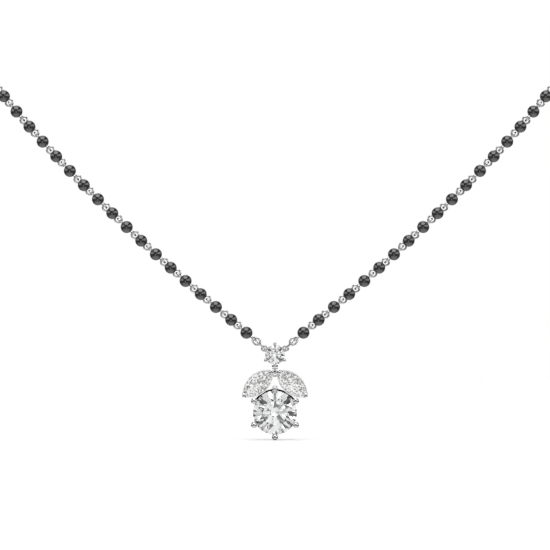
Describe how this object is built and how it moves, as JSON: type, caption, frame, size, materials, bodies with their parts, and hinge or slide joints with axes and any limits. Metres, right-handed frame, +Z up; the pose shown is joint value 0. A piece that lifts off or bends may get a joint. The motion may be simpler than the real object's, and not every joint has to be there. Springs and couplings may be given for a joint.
{
  "type": "mangalsutra",
  "caption": "Necklace of black beads on linked eye pins, with a hanging drop of a large round cut stone under a pair of leaf-shaped stones.",
  "frame": {"origin": "where the loop rests on the nape: the neck side of the clasp, in the middle of the loop", "axes": "+X to the right as seen from the front, +Y from the pendant towards the nape and out at the back, +Z up with the loop as worn"},
  "size_m": [0.1208, 0.086, 0.1053],
  "materials": {
    "black_bead": "polished black onyx",
    "white_gold": "polished white gold",
    "diamond": "clear faceted stone"
  },
  "bodies": {
    "necklace": {"beads_right": "black_bead", "beads_left": "black_bead", "pins_right": "white_gold", "pins_left": "white_gold", "jump_ring_right": "white_gold", "jump_ring_left": "white_gold", "long_link_right": "white_gold", "long_link_left": "white_gold", "upper_setting": "white_gold", "upper_stone": "diamond", "clasp": "white_gold"},
    "drop": {"drop_setting": "white_gold", "main_stone": "diamond", "leaf_stone_right": "diamond", "leaf_stone_left": "diamond"}
  },
  "joints": [
    {"name": "drop_swing", "type": "hinge", "parent": "necklace", "child": "drop", "pos_m": [0, -0.0817, -0.0928], "axis": [1, 0, 0], "range_deg": [-15, 60]}
  ]
}
